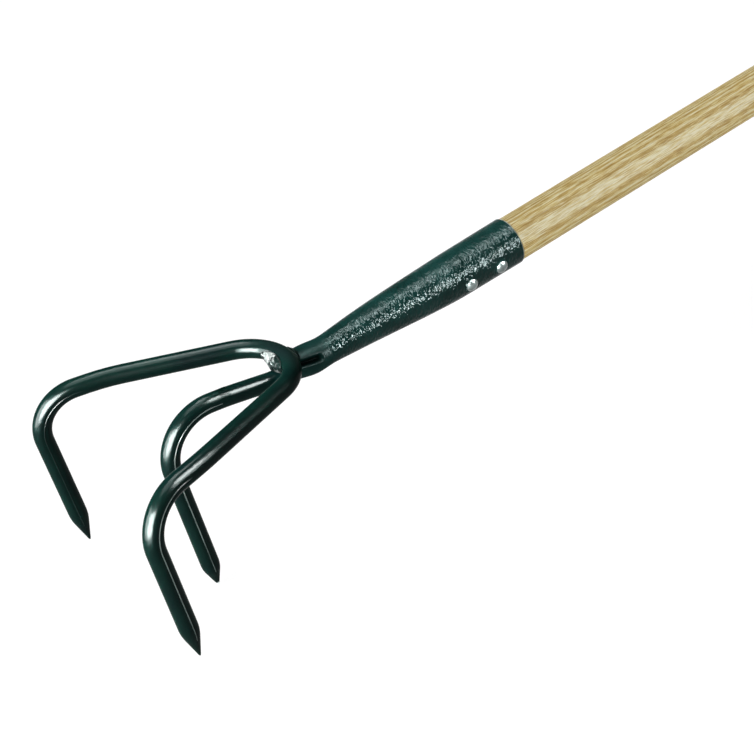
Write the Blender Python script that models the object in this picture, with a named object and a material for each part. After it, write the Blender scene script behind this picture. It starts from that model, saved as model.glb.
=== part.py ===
"""Garden cultivator: three forged tines on a riveted socket and a long wooden handle.

Units are metres and +Z is up. The handle lies along X and the tines hook down at
its -X end. Socket, handle and rivets are set out from the middle of the socket's
mouth, with reaches towards the tines and heights above the handle's axis. The tines
are set out from the apex of the hairpin, which sits on the socket's nose.
"""

from math import asin, atan2, cos, exp, pi, radians, sin, sqrt, tan

import bmesh
import bpy
from mathutils import Matrix, Vector

# Gap kept between pieces that touch
TOUCH = 0.0003

# Handle
HANDLE_DIAMETER = 0.030
HANDLE_LENGTH = 1.370
HANDLE_SEAT = 0.105
BUTT_ROUNDING = 0.005
SEAT_CHAMFER = 0.003

# Socket: a sleeve at the mouth, a long cone, and a nose that rises to the tines
SOCKET_WALL = 0.0015
SOCKET_LENGTH = 0.169
NOSE_LENGTH = 0.026
MOUTH_DIAMETER = 0.0318
SLEEVE_DIAMETER = 0.0310
SLEEVE_LENGTH = 0.045
CONE_SWELL = 1.3
NECK_DIAMETER = 0.0190
NECK_RISE = 0.0019
LEVEL_LENGTH = 0.044
NOSE_LIFT = 0.0032
LIFT_LENGTH = 0.024
NOSE_SWELL = 0.0007

# Two flutes that crimp the nose onto the tang of the centre tine, each with a lip below
FLUTE_ANGLE = radians(30)
FLUTE_FALL = radians(8)
FLUTE_SPREAD = radians(11)
FLUTE_DEPTH = 0.0042
FLUTE_LENGTH = 0.018
FLUTE_RUN_IN = 0.0016
LIP_DROP = radians(19)
LIP_SPREAD = radians(6)
LIP_RISE = 0.0004

# Bar of the tines
BAR_DIAMETER = 0.012
POINT_END_RADIUS = 0.0013
POINT_SHOULDER = 0.0012

# Outer tines: one bar bent into a hairpin, with a leg at each end
HAIRPIN_SEAT = 0.0028
HAIRPIN_RISE = 0.0086
HAIRPIN_RADIUS = 0.0327
ARM_REACH = 0.0897
ARM_SPACING = 0.1204
ARM_RISE = 0.0119
ARM_BOW = 0.151
OUTER_REACH = 0.1356
OUTER_SPACING = 0.1464
OUTER_RISE = 0.0146
OUTER_BEND = 0.0276
OUTER_TIP_REACH = 0.1361
OUTER_TIP_SPACING = 0.1450
OUTER_LEG = 0.1109
OUTER_POINT = 0.020

# Centre tine, whose tang lies in the nose and whose arm passes under the hairpin
TANG_DIAMETER = 0.009
TANG_LENGTH = 0.0178
TANG_DROP = 0.0114
TANG_SHOULDER = 0.0102
TANG_TAPER = 0.005
TANG_BEND = 0.040
CENTRE_ARM_REACH = 0.0438
CENTRE_ARM_DROP = 0.0028
CENTRE_ARM_BOW = 0.150
CENTRE_REACH = 0.0900
CENTRE_RISE = 0.0061
CENTRE_BEND = 0.0305
CENTRE_LEG = 0.1296
CENTRE_POINT = 0.016

# Weld metal
CROTCH_SWEEP = radians(33)
CROTCH_FADE = 1.3
CROTCH_OFFSET = 0.0055
CROTCH_OFFSET_END = 0.0038
CROTCH_WIDTH = 0.0112
CROTCH_WIDTH_END = 0.0026
CROTCH_TOP = 0.0050
CROTCH_TOP_END = 0.0035
CROTCH_FOOT = -0.0075
CROTCH_FOOT_END = -0.0002
NECK_LEG = 0.0022
NECK_ROOT = 0.0008
NECK_TAPER = 0.5
NECK_SWEEP = radians(68)
NECK_EDGE = radians(12)

# Rivets
RIVET_REACHES = (0.0185, 0.0425)
RIVET_SHANK = 0.0048
RIVET_HEAD = 0.0086
RIVET_HEAD_HEIGHT = 0.0021
RIVET_RIM = 0.0002
RIVET_ROLL = radians(12.5)

# Facets
BAR_SIDES = 20
HANDLE_SIDES = 44
RIVET_SIDES = 20
WELD_SIDES = 20
WELD_STEPS = 16
FILLET_STEPS = 4
ARC_STEP = radians(8)
CONE_STEPS = 7
NOSE_STEPS = 6
FLUTE_STEPS = 17
CREST_STEPS = 8
KEEL_STEPS = 14
BUTT_STEPS = 6

BAR_RADIUS = BAR_DIAMETER / 2
TANG_RADIUS = TANG_DIAMETER / 2
CONE_END = SOCKET_LENGTH - NOSE_LENGTH
FLUTE_START = SOCKET_LENGTH - FLUTE_LENGTH
NOSE_HEIGHT = NECK_RISE + NOSE_LIFT
APEX_REACH = SOCKET_LENGTH + HAIRPIN_SEAT
APEX_HEIGHT = NOSE_HEIGHT + HAIRPIN_RISE
HEAD_REACH = APEX_REACH + max(OUTER_REACH, OUTER_TIP_REACH) + BAR_RADIUS
HANDLE_OUT = HANDLE_LENGTH - HANDLE_SEAT
MOUTH_X = (HEAD_REACH - HANDLE_OUT) / 2
AXIS_HEIGHT = max(CENTRE_LEG - CENTRE_RISE, OUTER_LEG - OUTER_RISE) - APEX_HEIGHT

GREEN_ENAMEL = ("green_enamel", (0.010, 0.040, 0.034), 0.28, 0.0)
GREEN_HAMMERTONE = ("green_hammertone", (0.013, 0.052, 0.045), 0.35, 0.2)
WELD_METAL = ("weld_metal", (0.42, 0.43, 0.42), 0.45, 0.9)
ZINCED_STEEL = ("zinced_steel", (0.55, 0.56, 0.57), 0.30, 1.0)
ASH_WOOD = ("ash_wood", (0.50, 0.42, 0.25), 0.55, 0.0)


def clear_scene():
    """Remove every object of the opened scene."""
    for obj in list(bpy.data.objects):
        bpy.data.objects.remove(obj, do_unlink=True)


def material(finish):
    """Make the Principled BSDF material of a finish, or return the one already made."""
    name, colour, roughness, metallic = finish
    found = bpy.data.materials.get(name)
    if found:
        return found
    made = bpy.data.materials.new(name)
    made.use_nodes = True
    shader = made.node_tree.nodes["Principled BSDF"]
    shader.inputs["Base Color"].default_value = (*colour, 1.0)
    shader.inputs["Roughness"].default_value = roughness
    shader.inputs["Metallic"].default_value = metallic
    return made


def cutter_collection():
    """Return the collection of helper shapes, which is left out of renders."""
    helpers = bpy.data.collections.get("cutters")
    if helpers is None:
        helpers = bpy.data.collections.new("cutters")
        helpers.hide_render = True
        bpy.context.scene.collection.children.link(helpers)
    return helpers


def mesh_object(name, bm, parent, finish=None):
    """Turn a bmesh into an object: a piece when it has a finish, a cutter otherwise."""
    mesh = bpy.data.meshes.new(name)
    bm.to_mesh(mesh)
    bm.free()
    obj = bpy.data.objects.new(name, mesh)
    if finish is None:
        cutter_collection().objects.link(obj)
        obj.hide_render = True
        obj.display_type = "WIRE"
    else:
        bpy.context.scene.collection.objects.link(obj)
        mesh.materials.append(material(finish))
        mesh.shade_smooth()
        mesh.set_sharp_from_angle(angle=radians(40))
    obj.parent = parent
    return obj


def loft(rings, hollow=False):
    """Join rings of equally many points into a solid.

    Its ends are closed with a face each, or joined to one another when it is hollow,
    which makes a tube of rings that run along its outside and back along its inside.
    """
    bm = bmesh.new()
    loops = [[bm.verts.new(point) for point in ring] for ring in rings]
    if hollow:
        loops.append(loops[0])
    else:
        bm.faces.new(loops[0])
        bm.faces.new(loops[-1])
    for here, there in zip(loops, loops[1:]):
        for i, vert in enumerate(here):
            j = (i + 1) % len(here)
            bm.faces.new((vert, here[j], there[j], there[i]))
    bmesh.ops.recalc_face_normals(bm, faces=bm.faces[:])
    return bm


def cut(obj, cutter):
    """Subtract a cutter from a piece."""
    modifier = obj.modifiers.new(f"cut_{cutter.name}", "BOOLEAN")
    modifier.operation = "DIFFERENCE"
    modifier.solver = "EXACT"
    modifier.object = cutter


def blend(start, end, share):
    """Value at a share of the way from one to another."""
    return start + (end - start) * share


def ease(t):
    """Smooth step from 0 to 1."""
    t = min(max(t, 0.0), 1.0)
    return t * t * (3 - 2 * t)


def fillet(corners, radii):
    """Points of a path whose inner corners are rounded, each by its own radius."""
    points = [corners[0]]
    for before, corner, after, radius in zip(corners, corners[1:], corners[2:], radii):
        back = (before - corner).normalized()
        ahead = (after - corner).normalized()
        half = back.angle(ahead) / 2
        centre = corner + (back + ahead).normalized() * radius / sin(half)
        start = corner + back * radius / tan(half) - centre
        turn = pi - 2 * half
        axis = back.cross(ahead)
        steps = max(2, round(turn / ARC_STEP))
        for k in range(steps + 1):
            points.append(centre + Matrix.Rotation(-turn * k / steps, 3, axis) @ start)
    points.append(corners[-1])
    return points


def point_radius(distance, length):
    """Radius of a forged point at a distance from its end."""
    cone = POINT_END_RADIUS + (BAR_RADIUS - POINT_END_RADIUS) * distance / length
    overlap = max(POINT_SHOULDER - abs(cone - BAR_RADIUS), 0.0)
    radius = min(cone, BAR_RADIUS) - overlap**2 / POINT_SHOULDER / 4
    if distance < POINT_END_RADIUS:
        radius = min(radius, sqrt(POINT_END_RADIUS**2 - (POINT_END_RADIUS - distance) ** 2))
    return radius


def point_stations(length):
    """Distances from a point's end at which its section changes."""
    tip = [POINT_END_RADIUS * share for share in (0.08, 0.3, 0.6, 1.0)]
    return tip + [length * share for share in (0.3, 0.55, 0.8, 0.9, 1.0, 1.1, 1.2, 1.4)]


def forge_point(path, length):
    """Split the last straight run of a path into a point: places with their radii."""
    end = path[-1]
    back = (path[-2] - end).normalized()
    stations = [(end, 0.1 * POINT_END_RADIUS)]
    for distance in point_stations(length):
        stations.append((end + back * distance, point_radius(distance, length)))
    body = [(place, BAR_RADIUS) for place in path[:-1]]
    return body + stations[::-1]


def rod(name, stations, parent, finish=None, growth=0.0):
    """Round bar along places with radii, made from a bevelled curve."""
    curve = bpy.data.curves.new(name, "CURVE")
    curve.dimensions = "3D"
    curve.bevel_mode = "ROUND"
    curve.bevel_depth = BAR_RADIUS
    curve.bevel_resolution = BAR_SIDES // 2 - 2
    curve.use_fill_caps = True
    spline = curve.splines.new("POLY")
    spline.points.add(len(stations) - 1)
    for point, (place, radius) in zip(spline.points, stations):
        point.co = (*place, 1.0)
        point.radius = (radius + growth) / BAR_RADIUS
    shape = bpy.data.objects.new(name, curve)
    mesh = bpy.data.meshes.new_from_object(shape)
    bpy.data.objects.remove(shape)
    bpy.data.curves.remove(curve)
    bm = bmesh.new()
    bm.from_mesh(mesh)
    bpy.data.meshes.remove(mesh)
    bmesh.ops.remove_doubles(bm, verts=bm.verts[:], dist=1e-6)
    bmesh.ops.recalc_face_normals(bm, faces=bm.faces[:])
    return mesh_object(name, bm, parent, finish)


def from_apex(reach, across, rise):
    """Point of the head, set out from the centre of the bar at the hairpin's apex."""
    return Vector((-APEX_REACH - reach, across, APEX_HEIGHT + rise))


def outer_path():
    """Centre line of the hairpin bar, from the tip on -Y round to the tip on +Y."""
    along = ARM_REACH - HAIRPIN_RADIUS
    across = ARM_SPACING / 2
    half_spread = atan2(across, along) - asin(HAIRPIN_RADIUS / sqrt(along**2 + across**2))
    corner = HAIRPIN_RADIUS - HAIRPIN_RADIUS / sin(half_spread)
    vertex = from_apex(corner, 0, ARM_RISE * corner / ARM_REACH)
    arm = from_apex(ARM_REACH, across, ARM_RISE)
    bend = from_apex(OUTER_REACH, OUTER_SPACING / 2, OUTER_RISE)
    tip = from_apex(OUTER_TIP_REACH, OUTER_TIP_SPACING / 2, OUTER_RISE - OUTER_LEG)
    far = [arm, bend, tip]
    near = [Vector((p.x, -p.y, p.z)) for p in reversed(far)]
    radii = (OUTER_BEND, ARM_BOW, HAIRPIN_RADIUS, ARM_BOW, OUTER_BEND)
    return fillet(near + [vertex] + far, radii)


def outer_stations():
    """Places and radii of the hairpin bar with a forged point at each end."""
    path = outer_path()
    far = forge_point(path, OUTER_POINT)
    near = forge_point(path[::-1], OUTER_POINT)[::-1]
    points = len(point_stations(OUTER_POINT)) + 1
    return near[:points] + far[1:]


def centre_stations():
    """Places and radii of the centre tine, from the end of its tang to its point."""
    corners = [
        from_apex(-TANG_LENGTH, 0, -TANG_DROP),
        from_apex(TANG_SHOULDER, 0, -TANG_DROP),
        from_apex(CENTRE_ARM_REACH, 0, -CENTRE_ARM_DROP),
        from_apex(CENTRE_REACH, 0, CENTRE_RISE),
        from_apex(CENTRE_REACH, 0, CENTRE_RISE - CENTRE_LEG),
    ]
    path = fillet(corners, (TANG_BEND, CENTRE_ARM_BOW, CENTRE_BEND))
    tang_end = corners[1].x + TANG_TAPER / 2
    stations = []
    for place, radius in forge_point(path, CENTRE_POINT):
        grown = ease((tang_end - place.x) / TANG_TAPER)
        stations.append((place, radius - (BAR_RADIUS - TANG_RADIUS) * (1 - grown)))
    return stations


def socket_radius(reach):
    """Outer radius of the socket at a distance from its mouth."""
    mouth = MOUTH_DIAMETER / 2
    sleeve = SLEEVE_DIAMETER / 2
    neck = NECK_DIAMETER / 2
    if reach <= SLEEVE_LENGTH:
        return mouth + (sleeve - mouth) * reach / SLEEVE_LENGTH
    share = min((reach - SLEEVE_LENGTH) / (CONE_END - SLEEVE_LENGTH), 1.0)
    radius = sleeve - (sleeve - neck) * share**CONE_SWELL
    nose = 1 - (SOCKET_LENGTH - reach) / LIFT_LENGTH
    if 0 < nose:
        radius += NOSE_SWELL * sin(pi * min(nose, 1.0)) ** 2
    return radius


def socket_height(reach):
    """Height of the middle of the socket's section above the handle's axis."""
    level = SOCKET_LENGTH - LEVEL_LENGTH
    rise = NECK_RISE * ease((reach - SLEEVE_LENGTH) / (level - SLEEVE_LENGTH))
    nose = max(1 - (SOCKET_LENGTH - reach) / LIFT_LENGTH, 0.0)
    return rise + NOSE_LIFT * nose**2


def flute_angle(reach):
    """Angle of a flute above the horizontal, which falls away from the tines."""
    return FLUTE_ANGLE - FLUTE_FALL * min((SOCKET_LENGTH - reach) / FLUTE_LENGTH, 1.0)


def flute_depth(reach):
    """Depth of the flutes, which stop short of the tang that they grip."""
    offset = socket_height(reach) - APEX_HEIGHT + TANG_DROP
    side = flute_angle(reach) - FLUTE_SPREAD
    clear = TANG_RADIUS + TOUCH
    grip = sqrt(clear**2 - (offset * cos(side)) ** 2) - offset * sin(side)
    deepest = socket_radius(reach) - SOCKET_WALL - TOUCH - grip
    return min(FLUTE_DEPTH, deepest) * ease((reach - FLUTE_START) / FLUTE_RUN_IN)


def section_angles(reach):
    """Angles round the socket's section, set closer together across the flutes."""
    low = flute_angle(reach) - LIP_DROP - 2 * LIP_SPREAD
    high = flute_angle(reach) + 2 * FLUTE_SPREAD
    edges = (low, high, pi - high, pi - low, low + 2 * pi)
    angles = []
    counts = (FLUTE_STEPS, CREST_STEPS, FLUTE_STEPS, KEEL_STEPS)
    for start, end, count in zip(edges, edges[1:], counts):
        angles += [start + (end - start) * k / count for k in range(count)]
    return angles


def socket_ring(reach, growth=0.0, inside=False):
    """Section of the socket's outside or inside at a distance from its mouth."""
    base = socket_radius(reach) + growth
    spread = FLUTE_SPREAD
    if inside:
        spread += SOCKET_WALL / base
        base -= SOCKET_WALL
    depth = flute_depth(reach)
    ring = []
    for angle in section_angles(reach):
        off = (angle if cos(angle) > 0 else pi - angle) - flute_angle(reach)
        off = (off + pi) % (2 * pi) - pi
        radius = base - depth * exp(-((off / spread) ** 4))
        if not inside:
            radius += LIP_RISE * depth / FLUTE_DEPTH * exp(-(((off + LIP_DROP) / LIP_SPREAD) ** 2))
        ring.append(Vector((-reach, radius * cos(angle), socket_height(reach) + radius * sin(angle))))
    return ring


def socket_reaches():
    """Distances from the mouth at which the socket's section is drawn."""
    nose = FLUTE_START + FLUTE_RUN_IN
    reaches = [0.0]
    reaches += [blend(SLEEVE_LENGTH, CONE_END, k / CONE_STEPS) for k in range(CONE_STEPS + 1)]
    reaches += [(CONE_END + FLUTE_START) / 2, FLUTE_START, FLUTE_START + FLUTE_RUN_IN / 2]
    return reaches + [blend(nose, SOCKET_LENGTH, k / NOSE_STEPS) for k in range(NOSE_STEPS + 1)]


def rivet_holes(parent):
    """Cutters for the rivet holes through the socket and the handle."""
    holes = []
    for reach in RIVET_REACHES:
        bm = bmesh.new()
        radius = RIVET_SHANK / 2 + TOUCH
        bmesh.ops.create_cone(
            bm, cap_ends=True, segments=RIVET_SIDES, radius1=radius, radius2=radius, depth=2 * MOUTH_DIAMETER
        )
        turn = Matrix.Rotation(RIVET_ROLL, 4, "X") @ Matrix.Rotation(pi / 2, 4, "X")
        bmesh.ops.transform(bm, matrix=Matrix.Translation((-reach, 0, 0)) @ turn, verts=bm.verts[:])
        holes.append(mesh_object(f"rivet_hole_{len(holes) + 1}", bm, parent))
    return holes


def build_handle(parent, holes):
    """Turned shaft whose reduced end follows the inside of the socket."""
    shaft = HANDLE_DIAMETER / 2
    inset = SOCKET_WALL + TOUCH
    rings = []

    def ring(x, radius, height=0.0):
        """Add a round section to the shaft."""
        angles = [2 * pi * k / HANDLE_SIDES for k in range(HANDLE_SIDES)]
        rings.append([Vector((x, radius * cos(a), height + radius * sin(a))) for a in angles])

    end = socket_radius(HANDLE_SEAT) - inset
    ring(-HANDLE_SEAT, end - SEAT_CHAMFER, socket_height(HANDLE_SEAT))
    seat = [reach for reach in socket_reaches() if 0 < reach < HANDLE_SEAT - SEAT_CHAMFER]
    for reach in sorted([*seat, HANDLE_SEAT - SEAT_CHAMFER], reverse=True):
        ring(-reach, socket_radius(reach) - inset - TOUCH / 2, socket_height(reach))
    ring(TOUCH, socket_radius(0) - inset - TOUCH / 2)
    ring(TOUCH, shaft)
    flat = HANDLE_OUT - BUTT_ROUNDING
    for k in range(BUTT_STEPS + 1):
        turn = pi / 2 * k / BUTT_STEPS
        ring(flat + BUTT_ROUNDING * sin(turn), shaft - BUTT_ROUNDING * (1 - cos(turn)))
    handle = mesh_object("handle", loft(rings), parent, ASH_WOOD)
    for hole in holes:
        cut(handle, hole)


def build_socket(parent, holes, saddle):
    """Tube with a crimped nose, cut at the front to sit against the hairpin."""
    reaches = socket_reaches()
    outside = [socket_ring(reach) for reach in reaches]
    inside = [socket_ring(reach, inside=True) for reach in reversed(reaches)]
    socket = mesh_object("socket", loft(outside + inside, hollow=True), parent, GREEN_HAMMERTONE)
    for cutter in (*holes, saddle):
        cut(socket, cutter)


def build_crotch_weld(parent, cutters):
    """Lump of weld metal that fills the hairpin's crotch over the root of the centre tine."""
    rings = []
    for k in range(WELD_STEPS + 1):
        share = 2 * k / WELD_STEPS - 1
        turn = CROTCH_SWEEP * share
        end = abs(share) ** CROTCH_FADE
        middle = HAIRPIN_RADIUS - blend(CROTCH_OFFSET, CROTCH_OFFSET_END, end)
        wide = blend(CROTCH_WIDTH, CROTCH_WIDTH_END, end)
        top = blend(CROTCH_TOP, CROTCH_TOP_END, end)
        foot = blend(CROTCH_FOOT, CROTCH_FOOT_END, end)
        ring = []
        for j in range(WELD_SIDES):
            angle = 2 * pi * j / WELD_SIDES
            run = middle + wide / 2 * cos(angle)
            rise = (top + foot) / 2 + (top - foot) / 2 * sin(angle)
            ring.append(from_apex(HAIRPIN_RADIUS - run * cos(turn), run * sin(turn), rise))
        rings.append(ring)
    weld = mesh_object("crotch_weld", loft(rings), parent, WELD_METAL)
    for cutter in cutters:
        cut(weld, cutter)


def build_neck_weld(parent, cutters):
    """Hollow fillet round the nose of the socket, against the back of the hairpin."""
    around = socket_radius(SOCKET_LENGTH)
    rings = []
    for k in range(WELD_STEPS + 1):
        share = 2 * k / WELD_STEPS - 1
        turn = pi / 2 + NECK_SWEEP * share
        up = Vector((0, cos(turn), sin(turn)))
        across = around * cos(turn)
        rise = around * sin(turn) - HAIRPIN_RISE
        out = HAIRPIN_RADIUS + sqrt(max(BAR_RADIUS**2 - rise**2, 0.0))
        corner = from_apex(HAIRPIN_RADIUS - sqrt(out**2 - across**2), across, rise)
        leg = NECK_LEG * (1 - NECK_TAPER * abs(share) ** 3)
        hollow = [blend(NECK_EDGE, pi / 2 - NECK_EDGE, j / FILLET_STEPS) for j in range(FILLET_STEPS + 1)]
        face = [(leg * (1 - sin(a)), leg * (1 - cos(a))) for a in hollow]
        outline = [(-NECK_ROOT, -NECK_ROOT), (leg, -NECK_ROOT), *face, (-NECK_ROOT, leg)]
        rings.append([corner + Vector((back, 0, 0)) + up * lift for back, lift in outline])
    weld = mesh_object("neck_weld", loft(rings), parent, GREEN_ENAMEL)
    for cutter in cutters:
        cut(weld, cutter)


def build_rivet(name, reach, parent):
    """Rivet with a domed head at each end, its heads saddled to the sleeve."""
    sleeve = socket_radius(reach) + TOUCH
    head = RIVET_HEAD / 2
    shank = RIVET_SHANK / 2
    rise = RIVET_HEAD_HEIGHT
    dome = (head**2 + rise**2) / (2 * rise)
    half = []
    for share in (0.25, 0.5, 0.75, 0.92, 1.0):
        radius = head * share
        half.append((radius, sqrt(dome**2 - radius**2) - dome + rise, False))
    half += [(head, 0.0, True), (shank, 0.0, True)]
    rings = []
    for side in (1, -1):
        profile = half if side > 0 else half[::-1]
        for radius, lift, saddled in profile:
            ring = []
            for k in range(RIVET_SIDES):
                angle = 2 * pi * k / RIVET_SIDES
                along = radius * cos(angle)
                across = radius * sin(angle)
                seat = sqrt(sleeve**2 - across**2) if saddled else sleeve + RIVET_RIM
                ring.append(Vector((along, side * (seat + lift), across)))
            rings.append(ring)
    rivet = mesh_object(name, loft(rings), parent, ZINCED_STEEL)
    rivet.location = (-reach, 0, 0)
    rivet.rotation_euler = (RIVET_ROLL, 0, 0)


def main():
    """Build every piece of the cultivator under one frame."""
    clear_scene()
    frame = bpy.data.objects.new("socket_mouth", None)
    frame.location = (MOUTH_X, 0, AXIS_HEIGHT)
    bpy.context.scene.collection.objects.link(frame)

    rod("outer_tine_bar", outer_stations(), frame, GREEN_ENAMEL)
    rod("centre_tine", centre_stations(), frame, GREEN_ENAMEL)
    hairpin_space = rod("hairpin_space", outer_stations(), frame, growth=TOUCH)
    tine_space = rod("tine_space", centre_stations(), frame, growth=TOUCH)
    nose = [r for r in socket_reaches() if r >= CONE_END]
    nose_rings = [socket_ring(reach, TOUCH) for reach in nose]
    nose_space = mesh_object("nose_space", loft(nose_rings), frame)

    holes = rivet_holes(frame)
    build_handle(frame, holes)
    build_socket(frame, holes, hairpin_space)
    build_crotch_weld(frame, (hairpin_space, tine_space, nose_space))
    build_neck_weld(frame, (hairpin_space, nose_space))
    for name, reach in zip(("rivet_rear", "rivet_front"), RIVET_REACHES):
        build_rivet(name, reach, frame)


main()
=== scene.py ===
"""Visual model of a three-tined garden cultivator with a long ash handle.

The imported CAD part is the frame. Every piece here stands where its CAD node stands: two bars
bent into three tines, a crimped socket with a hammered finish, two rivets, two welds and the
handle. Lengths are in metres, in the frame of the CAD part.
"""

import logging
from collections.abc import Callable, Sequence
from dataclasses import dataclass, field
from enum import Enum
from math import asin, atan2, ceil, cos, exp, pi, radians, sin, sqrt, tan

import bmesh
import bpy
from mathutils import Matrix, Vector


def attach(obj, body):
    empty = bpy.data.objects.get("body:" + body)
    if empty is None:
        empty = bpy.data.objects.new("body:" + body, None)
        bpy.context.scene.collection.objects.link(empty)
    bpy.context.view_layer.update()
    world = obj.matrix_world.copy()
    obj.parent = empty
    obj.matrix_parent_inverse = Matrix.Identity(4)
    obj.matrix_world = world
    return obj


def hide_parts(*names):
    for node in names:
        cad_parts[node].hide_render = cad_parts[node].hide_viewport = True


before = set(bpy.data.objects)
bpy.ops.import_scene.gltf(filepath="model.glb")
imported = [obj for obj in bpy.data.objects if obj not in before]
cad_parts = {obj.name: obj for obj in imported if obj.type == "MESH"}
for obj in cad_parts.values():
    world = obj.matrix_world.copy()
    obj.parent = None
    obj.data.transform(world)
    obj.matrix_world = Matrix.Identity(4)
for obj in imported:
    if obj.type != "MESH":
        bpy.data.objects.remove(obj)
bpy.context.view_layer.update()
LOG = logging.getLogger("cultivator")
Link = bpy.types.NodeSocket

# Setting out, taken from the CAD part
MOUTH_X = -0.47555
AXIS_HEIGHT = 0.1098
SOCKET_LENGTH = 0.169
APEX = Vector((MOUTH_X - 0.1718, 0.0, AXIS_HEIGHT + 0.0137))
BAR_RADIUS = 0.00595
HAIRPIN_RADIUS = 0.0327
TANG_DROP = 0.0114
TANG_RADIUS = 0.0045
# Gap between pieces that touch
TOUCH = 0.0003
# Points closer than this are merged, the second on the plane of a mirror
MERGE = 1e-6
SEAM = MERGE * 20
# The spin operator turns against the right hand
SPIN_SIGN = -1.0


class Shading(Enum):
    """How a finished surface is shaded."""

    ROUND = radians(180)
    CRISP = radians(38)


class Reach(Enum):
    """What a lamp is for: to light the surfaces, or only to be mirrored in their gloss."""

    LIGHT = "light"
    GLOSS = "gloss"


class Piece(Enum):
    """A piece that a lamp can be kept to, or kept off."""

    SOCKET = "hammered_socket"
    SHAFT = "ash_shaft"


SOCKET = (Piece.SOCKET,)
SHAFT = (Piece.SHAFT,)
BOTH = SOCKET + SHAFT


def linear(code: str) -> tuple[float, float, float, float]:
    """Turn an sRGB hex colour into the linear colour that a socket holds.

    Args:
        code: Six hex digits, such as "b9aa7c".

    Returns:
        Red, green and blue in linear light, and an alpha of one.
    """
    values = [int(code[k : k + 2], 16) / 255 for k in (0, 2, 4)]
    channels = [v / 12.92 if v <= 0.04045 else ((v + 0.055) / 1.055) ** 2.4 for v in values]
    return (channels[0], channels[1], channels[2], 1.0)


def ease(share: float) -> float:
    """Smooth step from 0 to 1."""
    share = min(max(share, 0.0), 1.0)
    return share * share * (3 - 2 * share)


def from_apex(reach: float, across: float, rise: float) -> Vector:
    """Point of the head, set out from the middle of the bar at the hairpin's apex."""
    return APEX + Vector((-reach, across, rise))


def begin(name: str, maker: Callable[..., set[str]], **settings: object) -> bpy.types.Object:
    """Add a primitive with nothing else selected, and put its place into its mesh.

    Args:
        name: Name of the piece.
        maker: The operator that adds the primitive.
        **settings: The operator's settings, its size and place among them.

    Returns:
        The new object, active and selected.
    """
    bpy.ops.object.select_all(action="DESELECT")
    maker(**settings)
    piece = bpy.context.active_object
    piece.name = name
    piece.data.name = name
    bpy.ops.object.transform_apply(location=True, rotation=True, scale=True)
    return piece


def copy_of(source: bpy.types.Object, name: str) -> bpy.types.Object:
    """Copy an object together with its mesh.

    Args:
        source: The object to copy.
        name: Name of the copy.

    Returns:
        The copy, active and alone in the selection.
    """
    bpy.ops.object.select_all(action="DESELECT")
    piece = source.copy()
    piece.data = source.data.copy()
    piece.name = name
    piece.data.name = name
    bpy.context.scene.collection.objects.link(piece)
    piece.select_set(True)
    bpy.context.view_layer.objects.active = piece
    return piece


def enter(piece: bpy.types.Object) -> None:
    """Open a piece in edit mode with all its points selected.

    Args:
        piece: The piece to open.
    """
    bpy.ops.object.select_all(action="DESELECT")
    piece.select_set(True)
    bpy.context.view_layer.objects.active = piece
    bpy.ops.object.mode_set(mode="EDIT")
    bpy.ops.mesh.select_mode(type="VERT")
    bpy.ops.mesh.select_all(action="SELECT")


def ring(
    name: str,
    radius: float,
    sides: int,
    place: Vector,
    turn: Sequence[float],
    filled: bool = True,
) -> bpy.types.Object:
    """Add a ring of points and open it in edit mode.

    Args:
        name: Name of the piece.
        radius: Radius of the ring.
        sides: Number of its points.
        place: Its middle.
        turn: Its rotation from lying flat.
        filled: Whether a face closes it.

    Returns:
        The new piece, with the ring selected.
    """
    piece = begin(
        name,
        bpy.ops.mesh.primitive_circle_add,
        vertices=sides,
        radius=radius,
        fill_type="NGON" if filled else "NOTHING",
        location=place,
        rotation=turn,
    )
    enter(piece)
    return piece


def select_points(piece: bpy.types.Object, test: Callable[[Vector], bool]) -> None:
    """Select the points of an opened piece by their place, and nothing else.

    Args:
        piece: A piece in edit mode.
        test: Says of a place whether the point there is selected.
    """
    bpy.ops.mesh.select_all(action="DESELECT")
    mesh = bmesh.from_edit_mesh(piece.data)
    for point in mesh.verts:
        point.select = test(point.co)
    mesh.select_flush(True)
    bmesh.update_edit_mesh(piece.data)


def close(piece: bpy.types.Object, shading: Shading = Shading.ROUND) -> bpy.types.Object:
    """Merge doubles, turn the faces outwards, leave edit mode and shade the piece.

    Args:
        piece: A piece in edit mode.
        shading: How its surface is shaded.

    Returns:
        The piece in object mode.
    """
    bpy.ops.mesh.select_all(action="SELECT")
    bpy.ops.mesh.remove_doubles(threshold=MERGE)
    bpy.ops.mesh.normals_make_consistent(inside=False)
    bpy.ops.object.mode_set(mode="OBJECT")
    bpy.ops.object.shade_smooth_by_angle(angle=shading.value)
    return piece


def modify(piece: bpy.types.Object, kind: str, **settings: object) -> None:
    """Add a modifier with its settings and apply it.

    Args:
        piece: The piece in object mode.
        kind: Type of the modifier, such as "SUBSURF".
        **settings: Its properties.
    """
    bpy.ops.object.select_all(action="DESELECT")
    piece.select_set(True)
    bpy.context.view_layer.objects.active = piece
    bpy.ops.object.modifier_add(type=kind)
    modifier = piece.modifiers[-1]
    for key, value in settings.items():
        setattr(modifier, key, value)
    bpy.ops.object.modifier_apply(modifier=modifier.name)


def weigh(piece: bpy.types.Object, name: str, weight: Callable[[Vector], float]) -> str:
    """Give a piece a vertex group whose weights follow the place.

    Args:
        piece: The piece in object mode.
        name: Name of the group.
        weight: Weight at a place, from 0 to 1.

    Returns:
        The group's name.
    """
    group = piece.vertex_groups.new(name=name)
    for point in piece.data.vertices:
        group.add([point.index], min(max(weight(point.co), 0.0), 1.0), "REPLACE")
    return group.name


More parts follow.
